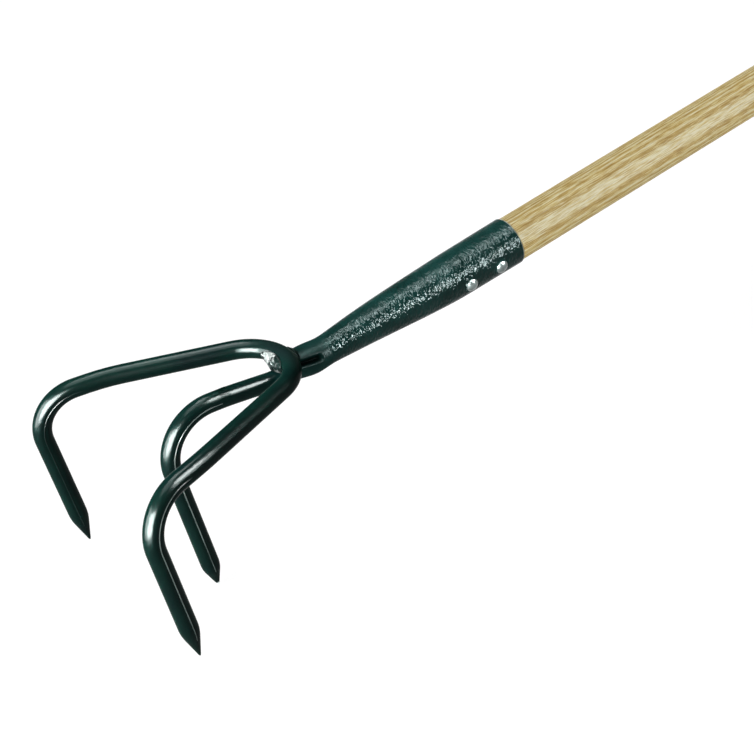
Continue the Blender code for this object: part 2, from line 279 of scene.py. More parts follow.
def clouds(name: str, size: float) -> bpy.types.Texture:
    """Make a cloud texture for a Displace modifier.

    Args:
        name: Name of the texture.
        size: Size of the clouds.

    Returns:
        The texture.
    """
    texture = bpy.data.textures.new(name, "CLOUDS")
    texture.noise_scale = size
    texture.noise_depth = 2
    return texture


def extrude(move: Vector) -> None:
    """Extrude the selected ring by a move."""
    bpy.ops.mesh.extrude_region_move(TRANSFORM_OT_translate={"value": move[:]})


def spread(start: float, end: float, count: int) -> list[float]:
    """Even steps from a start, which is left out, to an end."""
    return [start + (end - start) * k / count for k in range(1, count + 1)]


@dataclass
class Lathe:
    """Draws a turned piece on, ring by ring. The ring that was made last is what is selected.

    The axis that it is turned about is given by its number, 0 for X and 1 for Y.
    """

    place: Vector
    radius: float
    axis: int = 0

    def draw(self, rings: Sequence[tuple[Vector, float]]) -> None:
        """Extrude the ring through other places and radii, and close the last one.

        Args:
            rings: Middle and radius of each further ring.
        """
        for place, radius in rings:
            extrude(place - self.place)
            share = [radius / self.radius] * 3
            share[self.axis] = 1.0
            bpy.ops.transform.resize(value=tuple(share), center_override=place[:])
            self.place = place
            self.radius = radius
        bpy.ops.mesh.edge_face_add()


@dataclass
class RodBender:
    """Bends a round bar from a ring: straight runs are extruded and bends are spun.

    The ring that was made last is what is selected in edit mode. Beside the parting line the
    ring's sides are cut finer. The line is drawn by pairs: an angle from the line, in steps of
    the ring, and the share of the radius that is pressed in there.
    """

    place: Vector
    heading: Vector
    radius: float = BAR_RADIUS
    sides: int = 48
    arc_step: float = radians(3.5)
    lead: float = 0.006
    fine: float = 1.3
    cuts: int = 5
    near: float = 1 / 15
    ridge: float = 0.4
    side: Vector = field(init=False)
    mesh: bpy.types.Mesh = field(init=False)
    line: tuple[tuple[float, float], ...] = (
        (1 / 6, 0.005),
        (2 / 6, 0.022),
        (3 / 6, 0.045),
        (4 / 6, 0.046),
        (5 / 6, 0.045),
        (1.0, 0.042),
        (2.0, 0.020),
        (3.0, 0.005),
    )

    def start(self, name: str) -> bpy.types.Object:
        """Add the first ring, square to the heading, and open it in edit mode.

        Args:
            name: Name of the bar.

        Returns:
            The bar in edit mode, with the ring selected.
        """
        self.side = Vector((1, 0, 0)) if abs(self.heading.y) > 0.5 else Vector((0, 1, 0))
        facing = self.heading.to_track_quat("Z", "Y").to_euler()
        piece = ring(name, self.radius, self.sides, self.place, facing, filled=False)
        self.mesh = piece.data
        step = 2 * pi / self.sides
        select_points(piece, lambda place: self.turn(place) < self.fine * step)
        bpy.ops.mesh.subdivide(number_cuts=self.cuts)
        for angle, _ in self.line:
            select_points(piece, lambda place: abs(self.turn(place) - angle * step) < self.near * step)
            for point in bmesh.from_edit_mesh(piece.data).verts:
                if point.select:
                    point.co = self.place + (point.co - self.place).normalized() * self.radius
        bmesh.from_edit_mesh(piece.data).verts.layers.float.new("parting_line")
        bpy.ops.mesh.select_all(action="SELECT")
        return piece

    def turn(self, place: Vector) -> float:
        """Angle of a place from the nearer side of the bar."""
        spoke = place - self.place
        return abs(asin(min(max(spoke.dot(self.heading.cross(self.side)) / spoke.length, -1.0), 1.0)))

    def part_line(self, pressed: bool) -> None:
        """Start or end the fine parting line that the forging dies leave on both sides of the bar.

        Args:
            pressed: Whether the line starts at the ring that was made last, or ends there.
        """
        mesh = bmesh.from_edit_mesh(self.mesh)
        layer = mesh.verts.layers.float["parting_line"]
        step = 2 * pi / self.sides
        for point in mesh.verts:
            if not point.select:
                continue
            angle = self.turn(point.co) / step
            for place, drop in self.line:
                if abs(angle - place) < self.near:
                    share = 1 - drop if pressed else 1 / (1 - drop)
                    point.co = self.place + (point.co - self.place) * share
            point[layer] = 1.0 if pressed and angle < self.ridge else 0.0
        bmesh.update_edit_mesh(self.mesh)

    def run(self, length: float, radius: float | None = None) -> None:
        """Extrude the bar straight on.

        Args:
            length: How far it goes.
            radius: Its radius at the end of the run, if it changes there.
        """
        extrude(self.heading * length)
        self.place = self.place + self.heading * length
        if radius is not None:
            share = radius / self.radius
            bpy.ops.transform.resize(value=(share, share, share), center_override=self.place[:])
            self.radius = radius

    def bend(self, centre: Vector, turn: float, axis: Vector) -> None:
        """Spin the ring about the centre of a bend.

        Args:
            centre: Centre of the bend.
            turn: How far the bar turns.
            axis: Axis that it turns about, by the right hand.
        """
        steps = max(2, ceil(turn / self.arc_step))
        bpy.ops.mesh.spin(steps=steps, angle=SPIN_SIGN * turn, center=centre[:], axis=axis[:])
        spun = Matrix.Rotation(turn, 3, axis)
        self.place = centre + spun @ (self.place - centre)
        self.heading = spun @ self.heading
        self.side = spun @ self.side

    def follow(self, corners: list[Vector], radii: list[float], last: float) -> None:
        """Bend the bar round the corners of a path, each by its own radius.

        Args:
            corners: The path's corners after the bar's present place, and its end.
            radii: Radius of the bend at each corner but the last.
            last: How much of the last run is left for something else.
        """
        for corner, after, radius in zip(corners, corners[1:], radii):
            ahead = (after - corner).normalized()
            turn = self.heading.angle(ahead)
            start = corner - self.heading * radius * tan(turn / 2)
            length = (start - self.place).length
            lead = self.lead if after is corners[-1] else 0.0
            self.run(length - lead)
            if lead:
                self.run(lead)
                self.part_line(True)
            axis = self.heading.cross(ahead).normalized()
            self.bend(self.place + axis.cross(self.heading) * radius, turn, axis)
        self.run((corners[-1] - self.place).length - last)


@dataclass(frozen=True)
class ForgedPoint:
    """The point that is drawn out at the end of a tine."""

    length: float
    end_radius: float = 0.0005
    shoulder: float = 0.0012
    reach: float = 1.4
    step: float = 0.05
    tip: tuple[float, ...] = (0.75, 0.5, 0.3, 0.15, 0.05, 0.01)
    line_end: float = 0.014

    def radius(self, distance: float) -> float:
        """Radius at a distance from the point's end.

        Args:
            distance: Distance back from the end.

        Returns:
            The radius of a cone with a soft shoulder and a rounded end.
        """
        cone = self.end_radius + (BAR_RADIUS - self.end_radius) * distance / self.length
        overlap = max(self.shoulder - abs(cone - BAR_RADIUS), 0.0)
        radius = min(cone, BAR_RADIUS) - overlap**2 / self.shoulder / 4
        if distance < self.end_radius:
            radius = min(radius, sqrt(self.end_radius**2 - (self.end_radius - distance) ** 2))
        return radius

    def forge(self, bender: RodBender) -> None:
        """Draw the end of a bar out into the point and close it.

        Args:
            bender: The bar, whose end stands the point's reach before its tip.
        """
        count = round(self.reach / self.step)
        stations = [self.length * (self.reach - self.step * k) for k in range(1, count)]
        tip = [self.end_radius * share for share in self.tip]
        done = self.length * self.reach
        for distance in stations + tip:
            if distance >= done:
                continue
            bender.run(done - distance, self.radius(distance))
            if done >= self.line_end > distance:
                bender.part_line(False)
            done = distance
        extrude(bender.heading * done)
        bpy.ops.mesh.merge(type="CENTER")


@dataclass(frozen=True)
class Sheet:
    """One material's sheet of nodes."""

    material: bpy.types.Material

    @classmethod
    def blank(cls, name: str) -> "Sheet":
        """Start a new material with its shader and output alone.

        Args:
            name: Name of the material.

        Returns:
            The material's sheet.
        """
        material = bpy.data.materials.new(name)
        material.use_nodes = True
        return cls(material)

    @property
    def shader(self) -> bpy.types.Node:
        """The material's Principled shader."""
        return self.material.node_tree.nodes["Principled BSDF"]

    def add(self, kind: str, inputs: dict | None = None, **settings: object) -> bpy.types.Node:
        """Add a node with its settings, its values and the links into it.

        Args:
            kind: Type of the node without its prefix, such as "TexNoise".
            inputs: Value or linked socket for each input by its name or number.
            **settings: Properties of the node.

        Returns:
            The node.
        """
        node = self.material.node_tree.nodes.new(f"ShaderNode{kind}")
        for key, value in settings.items():
            setattr(node, key, value)
        self.feed(node, inputs or {})
        return node

    def feed(self, node: bpy.types.Node, inputs: dict) -> None:
        """Set or link inputs of a node.

        Args:
            node: The node.
            inputs: Value or linked socket for each input by its name or number.
        """
        for key, value in inputs.items():
            if isinstance(value, Link):
                self.material.node_tree.links.new(value, node.inputs[key])
            else:
                node.inputs[key].default_value = value

    def place(self) -> Link:
        """Place on the piece in metres, in the frame of the part."""
        return self.add("TexCoord").outputs["Object"]

    def noise(self, place: Link, size_mm: float, detail: float, **inputs: float) -> Link:
        """Noise of a real size.

        Args:
            place: Where it is read.
            size_mm: Size of its largest grains in millimetres.
            detail: How many finer layers it has.
            **inputs: Further inputs of the node by their names.

        Returns:
            The noise's value from 0 to 1.
        """
        values = {"Vector": place, "Scale": 1000 / size_mm, "Detail": detail, **inputs}
        return self.add("TexNoise", values).outputs["Fac"]

    def stretch(self, place: Link, share: float) -> Link:
        """Place with its X scaled by a share, which draws a pattern out along the tool."""
        return self.add("Mapping", {"Vector": place, "Scale": (share, 1.0, 1.0)}).outputs["Vector"]

    def times(self, value: Link, factor: Link | float) -> Link:
        """Product of a value and a factor."""
        return self.add("Math", {0: value, 1: factor}, operation="MULTIPLY").outputs[0]

    def bump(self, height: Link, strength: float, depth: float) -> Link:
        """Normal of a relief by its height, its strength and its depth in metres."""
        values = {"Height": height, "Strength": strength, "Distance": depth}
        return self.add("Bump", values).outputs["Normal"]

    def ramp(self, source: Link, stops: list[tuple[float, str]]) -> Link:
        """Turn a value into a colour between hex colours.

        Args:
            source: The value from 0 to 1.
            stops: Places along the ramp with their colours.

        Returns:
            The colour's socket.
        """
        node = self.add("ValToRGB", {"Fac": source})
        elements = node.color_ramp.elements
        while len(elements) < len(stops):
            elements.new(0.5)
        for element, (place, code) in zip(elements, stops):
            element.position = place
            element.color = linear(code)
        return node.outputs["Color"]

    def span(self, source: Link, low: float, high: float, first: float, last: float) -> Link:
        """Turn one range of a value smoothly into another.

        Args:
            source: The value.
            low: Value that becomes first.
            high: Value that becomes last.
            first: Result at low.
            last: Result at high.

        Returns:
            The result's socket.
        """
        node = self.add(
            "MapRange",
            {"Value": source, 1: low, 2: high, 3: first, 4: last},
            interpolation_type="SMOOTHSTEP",
        )
        return node.outputs["Result"]

    def blend(self, share: Link, base: Link, code: str) -> Link:
        """Lay a hex colour over a colour by a share.

        Args:
            share: How much of the hex colour there is.
            base: The colour beneath.
            code: The hex colour.

        Returns:
            The mixed colour's socket.
        """
        node = self.add("Mix", {0: share, 6: base, 7: linear(code)}, data_type="RGBA")
        return node.outputs[2]

    def soft_rim(self, facing: float, edge: float) -> Link:
        """Specular level of a thick paint film, whose gloss is softer at a grazing angle.

        Args:
            facing: Level where the surface is seen straight on.
            edge: Level where it is seen at a grazing angle.

        Returns:
            The level's socket.
        """
        weight = self.add("LayerWeight", {"Blend": 0.5})
        return self.span(weight.outputs["Facing"], 0.25, 0.65, facing, edge)


@dataclass(frozen=True)
class TineEnamel:
    """Dipped gloss enamel over forged steel.

    It is a thick green that reads nearly black away from the lamps, with soft broad
    highlights and a faint orange peel. It is chipped to bare steel at the tip that stands on
    the floor, and rubbed pale along the parting line, mostly on the -Y side, where the pale line
    is also a painted highlight. It is greyer towards the apex, and dulled there.
    """

    green: str = "0c302a"
    deep: str = "082322"
    steel: str = "b9c0be"
    # Pale colour of the parting line: rubbed paint, and a painted highlight along it
    worn_line_and_highlight: str = "a2b3b0"
    apex_grey: str = "1d2b2c"
    # Greyer colour laid towards the apex
    sheen: str = "5fae8c"
    roughness: float = 0.2
    ior: float = 1.45
    film: float = 0.04
    cloud_mm: float = 25.0
    chip_mm: float = 10 / 7
    chip_height: float = 0.005
    patch_mm: float = 500 / 11
    peel_mm: float = 2.4
    grey_run: float = 0.010
    dull_run: float = 0.004

    def make(self) -> bpy.types.Material:
        """Build the material.

        Returns:
            The material.
        """
        sheet = Sheet.blank("dipped_green_enamel")
        place = sheet.place()
        axes = sheet.add("SeparateXYZ", {"Vector": place}).outputs
        cloud = sheet.noise(place, self.cloud_mm, 3.0)
        paint = sheet.ramp(cloud, [(0.35, self.deep), (0.65, self.green)])
        ragged = sheet.times(sheet.noise(place, self.chip_mm, 3.0), self.chip_height)
        level = sheet.add("Math", {0: axes["Z"], 1: ragged}, operation="SUBTRACT").outputs[0]
        bare = sheet.span(level, 0.0006, 0.0, 0.0, 1.0)
        # The parting line is painted pale, more on the -Y side: rubbed paint and a painted highlight
        line = sheet.add("Attribute", attribute_name="parting_line").outputs["Fac"]
        patchy = sheet.span(sheet.noise(place, self.patch_mm, 2.0), 0.35, 0.5, 0.4, 1.0)
        one_sided = sheet.span(axes["Y"], 0.02, -0.01, 0.05, 1.0)
        wear_and_painted_highlight = sheet.times(sheet.times(line, patchy), one_sided)
        worn = sheet.blend(bare, sheet.blend(wear_and_painted_highlight, paint, self.worn_line_and_highlight), self.steel)
        # Greyer and a little darker towards the apex
        toward_apex = sheet.span(axes["X"], APEX.x - self.grey_run, APEX.x, 0.0, 0.75)
        burnt = sheet.span(axes["X"], APEX.x - self.dull_run, APEX.x + self.dull_run, 1.0, 0.3)
        sheet.feed(
            sheet.shader,
            {
                "Base Color": sheet.blend(toward_apex, worn, self.apex_grey),
                "Metallic": bare,
                "Roughness": self.roughness,
                "IOR": self.ior,
                "Specular IOR Level": sheet.times(sheet.soft_rim(self.film, 0.01), burnt),
                "Sheen Weight": 0.16,
                "Sheen Tint": linear(self.sheen),
                "Sheen Roughness": 0.35,
                "Normal": sheet.bump(sheet.noise(place, self.peel_mm, 1.0), 0.24, 0.0003),
            },
        )
        return sheet.material


@dataclass(frozen=True)
class HammeredEnamel:
    """Hammer-finish enamel over the rolled socket.

    It is a dark green that breaks the lamps into fine ripples and slivers across the tube.
    Heat has dulled it at the nose, and the flutes are painted near black as shade. The mouth's
    rim is rubbed pale, and its pale band is also a painted highlight on the edge.
    """

    green: str = "13332f"
    pale: str = "1c4440"
    # Near black painted into the flutes as their shade
    flute_shade: str = "020606"
    # Pale rim colour: rubbed paint, and a painted highlight on the mouth's edge
    wear_and_painted_highlight: str = "b4c0ba"
    tint: str = "e6fbfb"
    roughness: float = 0.11
    dull: float = 0.38
    ior: float = 1.45
    film: float = 0.07
    along_mm: float = 0.95
    around_mm: float = 2.5
    ripple_depth: float = 0.00075
    flow_mm: float = 50 / 3
    burnt_reach: float = 0.152
    fresh_reach: float = 0.136
    rim_start: float = 0.0009
    rim_end: float = 0.0004

    def make(self) -> bpy.types.Material:
        """Build the material.

        Returns:
            The material.
        """
        sheet = Sheet.blank("hammered_green_enamel")
        place = sheet.place()
        along = sheet.add("SeparateXYZ", {"Vector": place}).outputs["X"]
        drawn = sheet.stretch(place, self.around_mm / self.along_mm)
        ripple = sheet.noise(drawn, self.around_mm, 0.6, Distortion=0.3)
        body = sheet.span(along, MOUTH_X - self.burnt_reach, MOUTH_X - self.fresh_reach, 0.0, 1.0)
        relief = sheet.times(ripple, sheet.span(body, 0.0, 1.0, 0.3, 1.0))
        flow = sheet.noise(place, self.flow_mm, 2.0)
        paint = sheet.ramp(flow, [(0.35, self.green), (0.7, self.pale)])
        # The flutes are painted near black as shade, and their gloss is turned down there
        pressed = sheet.add("Attribute", attribute_name="pressed").outputs["Fac"]
        flute_shaded = sheet.blend(pressed, paint, self.flute_shade)
        # The rim band is painted pale: rubbed paint and a painted highlight on the edge
        rim = sheet.span(along, MOUTH_X - self.rim_start, MOUTH_X - self.rim_end, 0.0, 1.0)
        gloss_outside_flutes = sheet.span(pressed, 0.1, 0.7, 1.0, 0.1)
        burnt = sheet.times(sheet.span(body, 0.0, 1.0, 0.35, 1.0), gloss_outside_flutes)
        sheet.feed(
            sheet.shader,
            {
                "Base Color": sheet.blend(rim, flute_shaded, self.wear_and_painted_highlight),
                "Roughness": sheet.span(body, 0.0, 1.0, self.dull, self.roughness),
                "IOR": self.ior,
                "Specular IOR Level": sheet.times(sheet.soft_rim(self.film, 0.02), burnt),
                "Specular Tint": linear(self.tint),
                "Normal": sheet.bump(relief, 1.0, self.ripple_depth),
            },
        )
        return sheet.material


@dataclass(frozen=True)
class AshWood:
    """Turned ash under a thin clear lacquer.

    Rings of growth cut by the lathe show as long streaks, broad and pale where they lie flat
    to the surface and close and brown above and below, with short dark pores in them.
    """

    late: str = "a5894c"
    early: str = "b99f60"
    pale: str = "c8b781"
    chalk: str = "d3cba4"
    pore: str = "8c6a2e"
    pith_y: float = 0.055
    pith_z: float = AXIS_HEIGHT - 0.0243
    ring_mm: float = 2.0
    ring_draw: float = 0.03
    phase: float = -0.3
    fibre_mm: float = 0.6
    fibre_draw: float = 0.045
    fibre_share: float = 0.86
    pore_mm: float = 0.6
    pore_draw: float = 0.07
    roughness: float = 0.6
    ior: float = 1.5
    lacquer: float = 0.05

    def make(self) -> bpy.types.Material:
        """Build the material.

        Returns:
            The material.
        """
        sheet = Sheet.blank("lacquered_ash")
        place = sheet.place()
        pith = (0.0, -self.pith_y, -self.pith_z)
        centred = sheet.add("VectorMath", {0: place, 1: pith}, operation="ADD").outputs["Vector"]
        rings = sheet.add(
            "TexWave",
            {
                "Vector": sheet.stretch(centred, self.ring_draw),
                "Scale": 2 * pi / 20 / self.ring_mm * 1000,
                "Distortion": 1.2,
                "Detail": 3.0,
                "Detail Scale": 0.5,
                "Phase Offset": self.phase,
            },
            wave_type="RINGS",
            rings_direction="X",
            wave_profile="SIN",
        ).outputs["Fac"]
        thread = sheet.stretch(place, self.fibre_draw)
        fibre = sheet.noise(thread, self.fibre_mm, 5.0, Roughness=0.62)
        pores = sheet.noise(sheet.stretch(place, self.pore_draw), self.pore_mm, 1.0)
        mixed = sheet.add("Mix", {"Factor": self.fibre_share, 2: rings, 3: fibre})
        stops = [(0.38, self.late), (0.46, self.early), (0.53, self.pale), (0.6, self.chalk)]
        grain = sheet.ramp(mixed.outputs["Result"], stops)
        holes = sheet.span(pores, 0.52, 0.62, 0.0, 0.6)
        open_pores = sheet.times(holes, sheet.span(rings, 0.3, 0.75, 1.0, 0.4))
        sheet.feed(
            sheet.shader,
            {
                "Base Color": sheet.blend(open_pores, grain, self.pore),
                "Roughness": self.roughness,
                "IOR": self.ior,
                "Specular IOR Level": self.lacquer,
            },
        )
        return sheet.material


@dataclass(frozen=True)
class WeldBead:
    """Rough weld under a thin run of enamel.

    The enamel is painted darker in the hollows of its grain, as shade. Metal colour shows
    where the bead's top stands proud of it, and in a small fleck beside it: bare metal, and a
    painted highlight.
    """

    # Metal colour for bare metal and a painted highlight on the bead
    metal: str = "a6adab"
    green: str = "08241f"
    deep: str = "041715"
    top: tuple[float, float, float] = (-0.6548, 0.0042, 0.1276)
    fleck: tuple[float, float, float] = (-0.6562, -0.0068, 0.1195)
    grain_mm: float = 25 / 14
    roughness: float = 0.3

    def metal_and_highlight_share(
        self, sheet: Sheet, place: Link, ragged: Link, spot: Sequence[float], fade: Sequence[float]
    ) -> Link:
        """Share of metal colour round a spot, inside a ragged edge: bare metal and a painted highlight.

        Args:
            sheet: The material's sheet.
            place: Place on the piece.
            ragged: What the grain adds to the distance from the spot.
            spot: Middle of the bare metal.
            fade: Distance where it begins, distance where it is full, and how much that is.

        Returns:
            The share's socket.
        """
        outer, inner, most = fade
        away = sheet.add("VectorMath", {0: place, 1: spot}, operation="DISTANCE").outputs["Value"]
        reach = sheet.add("Math", {0: away, 1: ragged}, operation="ADD").outputs[0]
        return sheet.span(reach, outer, inner, 0.0, most)

    def make(self) -> bpy.types.Material:
        """Build the material.

        Returns:
            The material.
        """
        sheet = Sheet.blank("thinly_painted_weld")
        place = sheet.place()
        grain = sheet.noise(place, self.grain_mm, 3.5)
        shift = sheet.add("Math", {0: grain, 1: -0.016, 2: 0.008}, operation="MULTIPLY_ADD")
        ragged = shift.outputs[0]
        # Metal colour painted where the bead's highlight falls: bare metal and a painted highlight
        top = self.metal_and_highlight_share(sheet, place, ragged, self.top, (0.0068, 0.0030, 1.0))
        fleck = self.metal_and_highlight_share(sheet, place, ragged, self.fleck, (0.0034, 0.0014, 0.8))
        bare = sheet.add("Math", {0: top, 1: fleck}, operation="MAXIMUM").outputs[0]
        # Darker colour in the hollows of the grain, which is also the bump's height: painted shade
        paint = sheet.ramp(grain, [(0.4, self.deep), (0.6, self.green)])
        sheet.feed(
            sheet.shader,
            {
                "Base Color": sheet.blend(bare, paint, self.metal),
                "Metallic": sheet.span(bare, 0.0, 1.0, 0.0, 0.3),
                "Roughness": self.roughness,
                "IOR": 1.45,
                "Specular IOR Level": 0.06,
                "Normal": sheet.bump(grain, 0.5, 0.0009),
            },
        )
        return sheet.material


@dataclass(frozen=True)
class ZincPlate:
    """Zinc plating on a cold-headed rivet.

    It is a soft silver with the slight dents of the heading tool.
    """

    zinc: str = "656e6d"
    # Darker colour in the hollows of the dents: painted shade
    shade: str = "505857"
    dent_mm: float = 50 / 21
    roughness: float = 0.27

    def make(self) -> bpy.types.Material:
        """Build the material.

        Returns:
            The material.
        """
        sheet = Sheet.blank("bright_zinc_plate")
        dents = sheet.noise(sheet.place(), self.dent_mm, 2.0)
        sheet.feed(
            sheet.shader,
            {
                # The dents' hollows take the darker colour, as painted shade
                "Base Color": sheet.ramp(dents, [(0.35, self.shade), (0.6, self.zinc)]),
                "Metallic": 1.0,
                "Roughness": self.roughness,
                "Normal": sheet.bump(dents, 0.3, 0.0006),
            },
        )
        return sheet.material


@dataclass
class Finishes:
    """The cultivator's finishes, made once and shared by its pieces."""

    enamel: bpy.types.Material = field(default_factory=lambda: TineEnamel().make())
    hammered: bpy.types.Material = field(default_factory=lambda: HammeredEnamel().make())
    ash: bpy.types.Material = field(default_factory=lambda: AshWood().make())
    weld: bpy.types.Material = field(default_factory=lambda: WeldBead().make())
    zinc: bpy.types.Material = field(default_factory=lambda: ZincPlate().make())


def dress(piece: bpy.types.Object, material: bpy.types.Material, slot: str, *nodes: str) -> None:
    """Give a finished piece its material and its body, and hide the CAD nodes that it stands for.

    Args:
        piece: The finished piece.
        material: Its material.
        slot: Not used.
        *nodes: The CAD nodes that it replaces.
    """
    piece.data.materials.clear()
    piece.data.materials.append(material)
    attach(piece, "root")
    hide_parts(*nodes)
    LOG.info("%s: %d faces, %s", piece.name, len(piece.data.polygons), material.name)


@dataclass
class TineBars:
    """The hairpin bar that ends in the outer tines, and the centre tine between them."""

    arm_reach: float = 0.0897
    arm_spacing: float = 0.1204
    arm_rise: float = 0.0119
    arm_bow: float = 0.151
    outer_reach: float = 0.1356
    outer_spacing: float = 0.1464
    outer_rise: float = 0.0146
    outer_bend: float = 0.0276
    outer_tip_reach: float = 0.1361
    outer_tip_spacing: float = 0.1450
    outer_leg: float = 0.1109
    outer_point: ForgedPoint = ForgedPoint(0.020)
    tang_radius: float = TANG_RADIUS
    tang_length: float = 0.0178
    tang_drop: float = TANG_DROP
    tang_shoulder: float = 0.0102
    tang_taper: float = 0.005
    taper_steps: int = 8
    tang_bend: float = 0.040
    centre_arm_reach: float = 0.0438
    centre_arm_drop: float = 0.0028
    centre_arm_bow: float = 0.150
    centre_reach: float = 0.0900
    centre_rise: float = 0.0061
    centre_bend: float = 0.0305
    centre_leg: float = 0.1296
    centre_lead: float = 0.012
    centre_point: ForgedPoint = ForgedPoint(0.016)

    def hairpin(self) -> bpy.types.Object:
        """Bend one half of the hairpin bar from its apex to its tip and mirror it.

        Returns:
            The whole bar.
        """
        along = self.arm_reach - HAIRPIN_RADIUS
        across = self.arm_spacing / 2
        half_spread = atan2(across, along) - asin(HAIRPIN_RADIUS / sqrt(along**2 + across**2))
        corner = HAIRPIN_RADIUS - HAIRPIN_RADIUS / sin(half_spread)
        vertex = from_apex(corner, 0, self.arm_rise * corner / self.arm_reach)
        arm = from_apex(self.arm_reach, across, self.arm_rise)
        elbow = from_apex(self.outer_reach, self.outer_spacing / 2, self.outer_rise)
        tip_rise = self.outer_rise - self.outer_leg
        tip = from_apex(self.outer_tip_reach, self.outer_tip_spacing / 2, tip_rise)
        mirrored = Vector((arm.x, -arm.y, arm.z))
        near = (mirrored - vertex).normalized()
        far = (arm - vertex).normalized()
        half = near.angle(far) / 2
        centre = vertex + (near + far).normalized() * HAIRPIN_RADIUS / sin(half)
        crown = centre + (vertex - centre).normalized() * HAIRPIN_RADIUS
        bender = RodBender(crown, Vector((0, 1, 0)))
        piece = bender.start("hairpin_bar")
        axis = Vector((0, 1, 0)).cross(centre - crown).normalized()
        bender.bend(centre, pi / 2 - half, axis)
        point = self.outer_point
        bender.follow([arm, elbow, tip], [self.arm_bow, self.outer_bend], point.length * point.reach)
        point.forge(bender)
        close(piece)
        modify(piece, "MIRROR", use_axis=(False, True, False), use_clip=True, merge_threshold=SEAM)
        enter(piece)
        return close(piece)

    def centre(self) -> bpy.types.Object:
        """Draw the centre tine from the end of its tang to its point.

        Returns:
            The tine.
        """
        start = from_apex(-self.tang_length, 0, -self.tang_drop)
        corners = [
            from_apex(self.tang_shoulder, 0, -self.tang_drop),
            from_apex(self.centre_arm_reach, 0, -self.centre_arm_drop),
            from_apex(self.centre_reach, 0, self.centre_rise),
            from_apex(self.centre_reach, 0, self.centre_rise - self.centre_leg),
        ]
        bender = RodBender(start, Vector((-1, 0, 0)), self.tang_radius, lead=self.centre_lead)
        piece = bender.start("centre_tine_bar")
        bpy.ops.mesh.edge_face_add()
        first_turn = (corners[0] - start).angle(corners[1] - corners[0])
        bend_start = self.tang_shoulder - self.tang_bend * tan(first_turn / 2)
        level = self.tang_length + bend_start
        bender.run(level - self.tang_taper)
        for share in spread(0, 1, self.taper_steps):
            grown = self.tang_radius + (BAR_RADIUS - self.tang_radius) * ease(share)
            bender.run(self.tang_taper / self.taper_steps, grown)
        point = self.centre_point
        radii = [self.tang_bend, self.centre_arm_bow, self.centre_bend]
        bender.follow(corners, radii, point.length * point.reach)
        point.forge(bender)
        return close(piece, Shading.CRISP)

    def build(self, finishes: Finishes) -> None:
        """Make and dress both bars."""
        dress(self.hairpin(), finishes.enamel, "green_enamel", "outer_tine_bar")
        dress(self.centre(), finishes.enamel, "green_enamel", "centre_tine")


